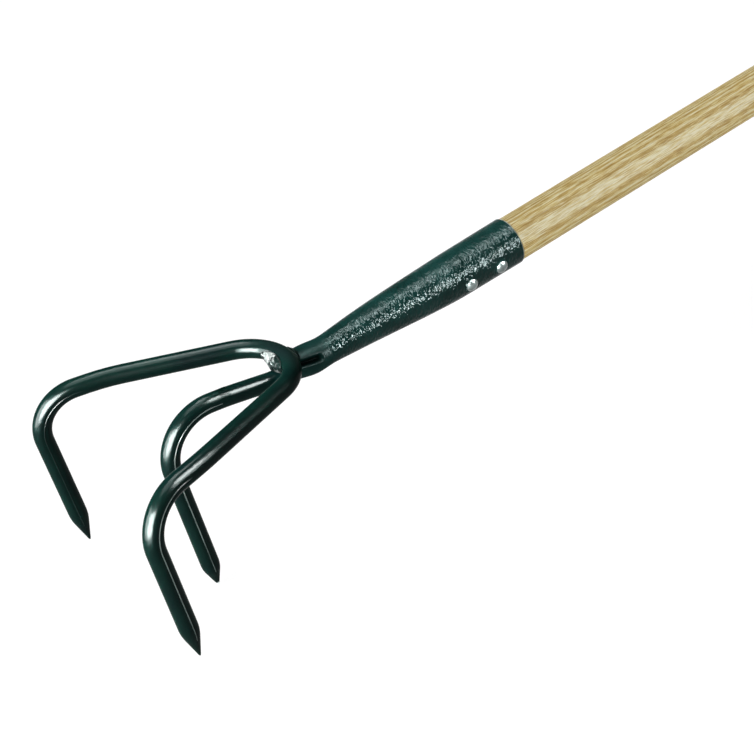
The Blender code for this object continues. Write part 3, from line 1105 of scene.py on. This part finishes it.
@dataclass
class Socket:
    """The rolled tube that holds the handle, crimped on the tang at its nose.

    Distances along it, its reaches, are measured from its mouth. The outside is drawn by
    stations that are close where the flutes are pressed in.
    """

    wall: float = 0.0015
    nose_length: float = 0.026
    mouth_radius: float = 0.0159
    sleeve_radius: float = 0.0155
    sleeve_length: float = 0.045
    swell: float = 1.3
    neck_radius: float = 0.0095
    neck_rise: float = 0.0019
    level_length: float = 0.044
    nose_lift: float = 0.0032
    lift_length: float = 0.024
    nose_swell: float = 0.0007
    flute_angle: float = radians(30)
    flute_fall: float = radians(8)
    flute_spread: float = radians(11)
    flute_depth: float = 0.0042
    flute_length: float = 0.018
    flute_run_in: float = 0.003
    lip_drop: float = radians(19)
    lip_spread: float = radians(6)
    lip_rise: float = 0.0004
    tang_drop: float = TANG_DROP
    tang_radius: float = TANG_RADIUS
    inside: float = 0.8
    bore_end: float = 0.106
    bore_shares: tuple[float, ...] = (0.8, 0.6, 0.4, 0.2, 0.0)
    rim_round: float = 0.00045
    sides: int = 160
    stations: tuple[tuple[float, int], ...] = ((0.045, 9), (0.143, 28), (0.150, 10), (0.169, 64))

    def radius(self, reach: float) -> float:
        """Outer radius of the tube.

        Args:
            reach: Distance from the mouth.

        Returns:
            The radius.
        """
        if reach <= self.sleeve_length:
            drop = self.sleeve_radius - self.mouth_radius
            return self.mouth_radius + drop * reach / self.sleeve_length
        cone_end = SOCKET_LENGTH - self.nose_length
        share = min((reach - self.sleeve_length) / (cone_end - self.sleeve_length), 1.0)
        radius = self.sleeve_radius - (self.sleeve_radius - self.neck_radius) * share**self.swell
        nose = 1 - (SOCKET_LENGTH - reach) / self.lift_length
        if nose > 0:
            radius += self.nose_swell * sin(pi * min(nose, 1.0)) ** 2
        return radius

    def height(self, reach: float) -> float:
        """Height of the section's middle above the handle's axis.

        Args:
            reach: Distance from the mouth.

        Returns:
            The height.
        """
        level = SOCKET_LENGTH - self.level_length
        rise = self.neck_rise * ease((reach - self.sleeve_length) / (level - self.sleeve_length))
        nose = max(1 - (SOCKET_LENGTH - reach) / self.lift_length, 0.0)
        return rise + self.nose_lift * nose**2

    def middle(self, reach: float) -> Vector:
        """Middle of the section at a distance from the mouth."""
        return Vector((MOUTH_X - reach, 0.0, AXIS_HEIGHT + self.height(reach)))

    def depth(self, reach: float) -> float:
        """Depth of the flutes, which stop short of the tang that they grip.

        Args:
            reach: Distance from the mouth.

        Returns:
            The depth.
        """
        start = SOCKET_LENGTH - self.flute_length
        offset = self.height(reach) - (APEX.z - AXIS_HEIGHT) + self.tang_drop
        side = self.crease(reach) - self.flute_spread
        clear = self.tang_radius + TOUCH
        grip = sqrt(max(clear**2 - (offset * cos(side)) ** 2, 0.0)) - offset * sin(side)
        deepest = self.radius(reach) - self.wall - TOUCH - grip
        return min(self.flute_depth, deepest) * ease((reach - start) / self.flute_run_in)

    def crease(self, reach: float) -> float:
        """Angle of a flute above the horizontal at a distance from the mouth."""
        return self.flute_angle - self.flute_fall * min((SOCKET_LENGTH - reach) / self.flute_length, 1.0)

    def press(self, place: Vector) -> float:
        """Share of the flutes' full depth that is pressed in.

        Args:
            place: Place on the tube.

        Returns:
            The share, which is zero in the bore.
        """
        reach = MOUTH_X - place.x
        if not SOCKET_LENGTH - self.flute_length - MERGE < reach < SOCKET_LENGTH + MERGE:
            return 0.0
        spoke = place - self.middle(reach)
        if spoke.length < self.inside * self.radius(reach):
            return 0.0
        off = atan2(spoke.z, abs(spoke.y)) - self.crease(reach)
        return self.depth(reach) / self.flute_depth * exp(-((off / self.flute_spread) ** 4))

    def lip(self, place: Vector) -> float:
        """Share of the lip's full rise below a flute.

        Args:
            place: Place on the tube.

        Returns:
            The share.
        """
        reach = MOUTH_X - place.x
        if not SOCKET_LENGTH - self.flute_length < reach < SOCKET_LENGTH + MERGE:
            return 0.0
        spoke = place - self.middle(reach)
        off = atan2(spoke.z, abs(spoke.y)) - self.crease(reach)
        share = self.depth(reach) / self.flute_depth
        return share * exp(-(((off + self.lip_drop) / self.lip_spread) ** 2))

    def tube(self) -> bpy.types.Object:
        """Draw the tube from the bottom of its bore out over the rim and down to its nose.

        Returns:
            The plain tube, closed at both ends.
        """
        start = self.middle(self.bore_end)
        bore = self.radius(self.bore_end) - self.wall
        piece = ring("hammered_socket", bore, self.sides, start, (0, pi / 2, 0))
        reaches = [share * self.bore_end for share in self.bore_shares]
        profile = [(reach, self.radius(reach) - self.wall) for reach in reaches]
        profile.append((0.0, self.radius(0) - self.wall + self.rim_round))
        profile.append((0.0, self.radius(0) - self.rim_round))
        for turn in spread(0, pi / 2, 4):
            back = self.rim_round * (1 - cos(turn))
            profile.append((back, self.radius(0) - self.rim_round * (1 - sin(turn))))
        past = 0.0
        for end, count in self.stations:
            profile += [(reach, self.radius(reach)) for reach in spread(past, end, count)]
            past = end
        Lathe(start, bore).draw([(self.middle(reach), radius) for reach, radius in profile])
        return close(piece, Shading.CRISP)

    def build(self, finishes: Finishes) -> None:
        """Make the tube, press its flutes in and dress it.

        Args:
            finishes: The cultivator's finishes.
        """
        piece = self.tube()
        press = weigh(piece, "flutes", self.press)
        # The flute share is kept on the points, and the finish paints shade into the flutes by it
        shares = [self.press(point.co) for point in piece.data.vertices]
        pressed = piece.data.attributes.new("pressed", "FLOAT", "POINT")
        pressed.data.foreach_set("value", shares)
        lip = weigh(piece, "lips", self.lip)
        modify(piece, "DISPLACE", vertex_group=lip, strength=self.lip_rise, mid_level=0.0)
        modify(piece, "DISPLACE", vertex_group=press, strength=-self.flute_depth, mid_level=0.0)
        piece.vertex_groups.clear()
        dress(piece, finishes.hammered, "green_hammertone", "socket")


@dataclass
class Handle:
    """The turned ash shaft with its reduced end in the socket."""

    radius: float = 0.015
    out: float = 1.265
    seat: float = 0.105
    chamfer: float = 0.003
    seat_rings: tuple[float, ...] = (0.085, 0.065)
    shoulder: float = 0.0003
    butt_rounding: float = 0.005
    sides: int = 128

    def build(self, finishes: Finishes, socket: Socket) -> None:
        """Turn the shaft and dress it.

        Args:
            finishes: The cultivator's finishes.
            socket: The socket that the shaft sits in.
        """
        inset = socket.wall + 1.5 * TOUCH
        start = socket.middle(self.seat)
        end = socket.radius(self.seat) - inset - self.chamfer
        piece = ring("ash_shaft", end, self.sides, start, (0, pi / 2, 0))
        reaches = [self.seat - self.chamfer, *self.seat_rings, socket.sleeve_length, 0.0]
        rings = [(socket.middle(reach), socket.radius(reach) - inset) for reach in reaches]
        mouth = Vector((MOUTH_X + TOUCH, 0, AXIS_HEIGHT))
        rings += [(mouth, socket.radius(0) - inset), (mouth, self.radius - self.shoulder)]
        rings += [(mouth + Vector((self.shoulder, 0, 0)), self.radius)]
        flat = self.out - self.butt_rounding
        rings += [(Vector((MOUTH_X + out, 0, AXIS_HEIGHT)), self.radius) for out in spread(0, flat, 24)]
        for turn in spread(0, pi / 2, 9):
            place = Vector((MOUTH_X + flat + self.butt_rounding * sin(turn), 0, AXIS_HEIGHT))
            rings.append((place, self.radius - self.butt_rounding * (1 - cos(turn))))
        Lathe(start, end).draw(rings)
        close(piece, Shading.CRISP)
        dress(piece, finishes.ash, "ash_wood", "handle")


@dataclass
class Rivets:
    """Two rivets through the sleeve, each with a domed head at both ends."""

    rear: float = 0.0185
    front: float = 0.0425
    shank: float = 0.0024
    head: float = 0.0043
    rise: float = 0.0021
    roll: float = radians(12.5)
    sides: int = 48
    dome: tuple[float, ...] = (1.0, 0.97, 0.92, 0.85, 0.75, 0.62, 0.48, 0.33, 0.18, 0.06)

    def shape(self, name: str, sleeve: float) -> bpy.types.Object:
        """Model a rivet lying along Y at the frame's origin.

        Args:
            name: Name of the rivet.
            sleeve: Outer radius of the socket where the heads sit.

        Returns:
            The rivet.
        """
        ball = (self.head**2 + self.rise**2) / (2 * self.rise)
        piece = ring(name, self.shank, self.sides, Vector(), (pi / 2, 0, 0))
        seat = sqrt(sleeve**2 - self.head**2) + TOUCH / 2
        profile = [(seat, self.shank), (seat, self.head)]
        for share in self.dome:
            radius = self.head * share
            out = sleeve + TOUCH + sqrt(ball**2 - radius**2) - ball + self.rise
            profile.append((out, radius))
        rings = [(Vector((0, -out, 0)), radius) for out, radius in profile]
        Lathe(Vector(), self.shank, axis=1).draw(rings)
        select_points(piece, lambda place: abs(place.y) < MERGE)
        bpy.ops.mesh.delete(type="ONLY_FACE")
        close(piece, Shading.CRISP)
        modify(piece, "MIRROR", use_axis=(False, True, False), merge_threshold=SEAM)
        enter(piece)
        return close(piece, Shading.CRISP)

    def build(self, finishes: Finishes, socket: Socket) -> None:
        """Model each rivet as long as the sleeve is wide there, set it in place and dress it.

        Args:
            finishes: The cultivator's finishes.
            socket: The socket that they go through.
        """
        rivets = (("rear_rivet", "rivet_rear", self.rear), ("front_rivet", "rivet_front", self.front))
        for name, node, reach in rivets:
            piece = self.shape(name, socket.radius(reach))
            piece.rotation_euler = (self.roll, 0, 0)
            piece.location = (MOUTH_X - reach, 0, AXIS_HEIGHT)
            bpy.ops.object.transform_apply(location=True, rotation=True, scale=True)
            dress(piece, finishes.zinc, "zinced_steel", node)


@dataclass
class Welds:
    """The lump of weld metal in the hairpin's crotch and the fillet round the socket's nose.

    Both are copies of their solids, since their form is that of the gap that they fill.
    """

    merge: float = MERGE * 10
    voxel: float = 0.00035
    passes: int = 8
    smoothing: float = 0.5
    pits: float = 0.0006
    pit_size: float = 0.0016
    pit_level: float = 0.4

    def swell(self, name: str, node: str) -> bpy.types.Object:
        """Copy a weld's solid, merge it, remesh it finely and smooth it.

        Args:
            name: Name of the new piece.
            node: The CAD node that it stands for.

        Returns:
            The piece in object mode.
        """
        piece = copy_of(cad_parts[node], name)
        enter(piece)
        bpy.ops.mesh.remove_doubles(threshold=self.merge)
        bpy.ops.object.mode_set(mode="OBJECT")
        modify(piece, "REMESH", mode="VOXEL", voxel_size=self.voxel)
        modify(piece, "SMOOTH", factor=self.smoothing, iterations=self.passes)
        bpy.ops.object.shade_smooth_by_angle(angle=Shading.ROUND.value)
        return piece

    def build(self, finishes: Finishes) -> None:
        """Make and dress both welds.

        Args:
            finishes: The cultivator's finishes.
        """
        crotch = self.swell("crotch_bead", "crotch_weld")
        spatter = clouds("spatter", self.pit_size)
        modify(crotch, "DISPLACE", texture=spatter, strength=self.pits, mid_level=self.pit_level)
        dress(crotch, finishes.weld, "weld_metal", "crotch_weld")
        neck = self.swell("neck_fillet", "neck_weld")
        modify(neck, "DISPLACE", strength=TOUCH, mid_level=0.0)
        dress(neck, finishes.enamel, "green_enamel", "neck_weld")


@dataclass(frozen=True)
class Lamp:
    """One soft box, set out by the direction it shines from, in degrees.

    It stands at its distance from a station on the tool's length. Where only some pieces are
    named, it lights nothing else, and where some are spared, it lights all but those.
    """

    name: str
    azimuth: float
    elevation: float
    distance: float
    width: float
    height: float
    radiance: float
    reach: Reach = Reach.LIGHT
    only: tuple[Piece, ...] = ()
    spared: tuple[Piece, ...] = ()
    station: float = -0.70

    def place(self, aim_height: float) -> None:
        """Add the lamp, turn it to what it lights and link it to its pieces.

        Args:
            aim_height: Height of what it is turned to.
        """
        aim = Vector((self.station, 0.0, aim_height))
        az = radians(self.azimuth)
        el = radians(self.elevation)
        out = Vector((cos(el) * cos(az), cos(el) * sin(az), sin(el)))
        bpy.ops.object.light_add(type="AREA", location=aim + out * self.distance)
        lamp = bpy.context.active_object
        lamp.name = self.name
        lamp.rotation_euler = out.to_track_quat("Z", "Y").to_euler()
        lamp.data.shape = "RECTANGLE"
        lamp.data.size = self.width
        lamp.data.size_y = self.height
        lamp.data.energy = self.radiance * pi * self.width * self.height
        lamp.visible_camera = False
        lamp.visible_diffuse = self.reach is Reach.LIGHT
        lamp.visible_glossy = self.reach is Reach.GLOSS
        if self.only or self.spared:
            group = bpy.data.collections.new(f"{self.name}_lights")
            for linked in self.only + self.spared:
                group.objects.link(bpy.data.objects[linked.value])
            for entry in group.collection_objects:
                entry.light_linking.link_state = "INCLUDE" if self.only else "EXCLUDE"
            lamp.light_linking.receiver_collection = group


@dataclass
class Studio:
    """White floor, soft lamps, a dim room and the camera.

    The lamps are given by name, azimuth, elevation, distance, width, height and radiance.
    The socket and the shaft have some of their own, so that the highlights on the bars, the
    ripples and the grain each suit the photograph.
    """

    aim_height: float = 0.08
    floor_size: float = 60.0
    paper: float = 0.2
    eye: Vector = field(default_factory=lambda: Vector((-0.94415, -0.7364, 0.6587)))
    sight: Vector = field(default_factory=lambda: Vector((0.35029, 0.73288, -0.58325)))
    roll: float = radians(-16.51)
    lens: float = 76.5
    room: float = 0.06
    glow: float = 0.86
    lamps: tuple[Lamp, ...] = (
        Lamp("top_box", 170, 62, 3.0, 3.0, 2.0, 1.2, spared=SHAFT),
        Lamp("left_fill", -172, 28, 3.4, 2.4, 1.8, 7.8, spared=SHAFT),
        Lamp("back_fill", 125, 50, 3.2, 2.4, 1.8, 5.2, spared=SHAFT),
        Lamp("shaft_sky", 90, 60, 3.0, 3.0, 2.0, 5.4, only=SHAFT, station=-0.2),
        Lamp("shaft_front", -90, 6, 2.0, 2.4, 0.5, 10.4, only=SHAFT, station=-0.2),
        Lamp("socket_front", -90, 6, 2.0, 2.0, 0.5, 2.6, only=SOCKET, station=-0.56),
        Lamp("left_card", -153, 22, 1.5, 1.25, 1.05, 290.0, Reach.GLOSS, spared=BOTH),
        Lamp("left_veil", -172, 18, 1.5, 2.2, 1.5, 92.0, Reach.GLOSS, spared=BOTH),
        Lamp("right_card", -39, 43, 3.0, 1.1, 1.3, 205.0, Reach.GLOSS, spared=BOTH),
        Lamp("right_veil", -44, 29, 3.1, 1.5, 1.9, 70.0, Reach.GLOSS, spared=BOTH),
        Lamp("back_card", 48, 66, 2.0, 0.7, 0.7, 50.0, Reach.GLOSS, spared=BOTH),
        Lamp("ceiling", -20, 87, 2.4, 1.5, 1.5, 22.0, Reach.GLOSS),
        Lamp("high_card", -50, 66, 2.0, 2.0, 0.5, 80.0, Reach.GLOSS, only=SOCKET, station=-0.56),
        Lamp("low_card", -67, 16, 0.5, 0.18, 0.23, 225.0, Reach.GLOSS, only=SOCKET, station=-0.49),
        Lamp("shaft_card", -56, 13, 2.0, 0.7, 0.9, 220.0, Reach.GLOSS, only=SHAFT, station=-0.56),
    )

    def floor(self) -> None:
        """Lay a floor of white paper, lit to white only where it is seen or mirrored."""
        floor = begin("floor", bpy.ops.mesh.primitive_plane_add, size=self.floor_size, location=(0, 0, 0))
        sheet = Sheet.blank("white_paper_floor")
        path = sheet.add("LightPath").outputs
        seen = path["Is Camera Ray"]
        for ray in ("Is Glossy Ray", "Is Transmission Ray"):
            seen = sheet.add("Math", {0: seen, 1: path[ray]}, operation="MAXIMUM").outputs[0]
        sheet.feed(
            sheet.shader,
            {
                "Base Color": (self.paper,) * 3 + (1.0,),
                "Roughness": 0.9,
                "Specular IOR Level": 0.0,
                "Emission Color": (1.0, 1.0, 1.0, 1.0),
                "Emission Strength": sheet.times(seen, self.glow),
            },
        )
        floor.data.materials.append(sheet.material)

    def camera(self) -> None:
        """Set the camera where the photograph was taken from."""
        bpy.ops.object.camera_add(location=self.eye)
        camera = bpy.context.active_object
        turn = self.sight.to_track_quat("-Z", "Y").to_matrix()
        camera.rotation_euler = (turn @ Matrix.Rotation(self.roll, 3, "Z")).to_euler()
        camera.data.lens = self.lens
        camera.data.sensor_width = 36.0
        camera.data.clip_start = 0.01
        bpy.context.scene.camera = camera

    def build(self) -> None:
        """Set up the whole studio."""
        self.floor()
        self.camera()
        for lamp in self.lamps:
            lamp.place(self.aim_height)
        world = bpy.data.worlds.new("dim_room")
        world.use_nodes = True
        background = world.node_tree.nodes["Background"]
        background.inputs["Color"].default_value = (self.room,) * 3 + (1.0,)
        bpy.context.scene.world = world
        bpy.context.scene.view_settings.view_transform = "Standard"


def main() -> None:
    """Build the cultivator and its studio in order."""
    logging.basicConfig(level=logging.INFO, format="%(name)s %(message)s")
    finishes = Finishes()
    socket = Socket()
    TineBars().build(finishes)
    Welds().build(finishes)
    socket.build(finishes)
    Rivets().build(finishes, socket)
    Handle().build(finishes, socket)
    Studio().build()


if __name__ == "__main__":
    main()
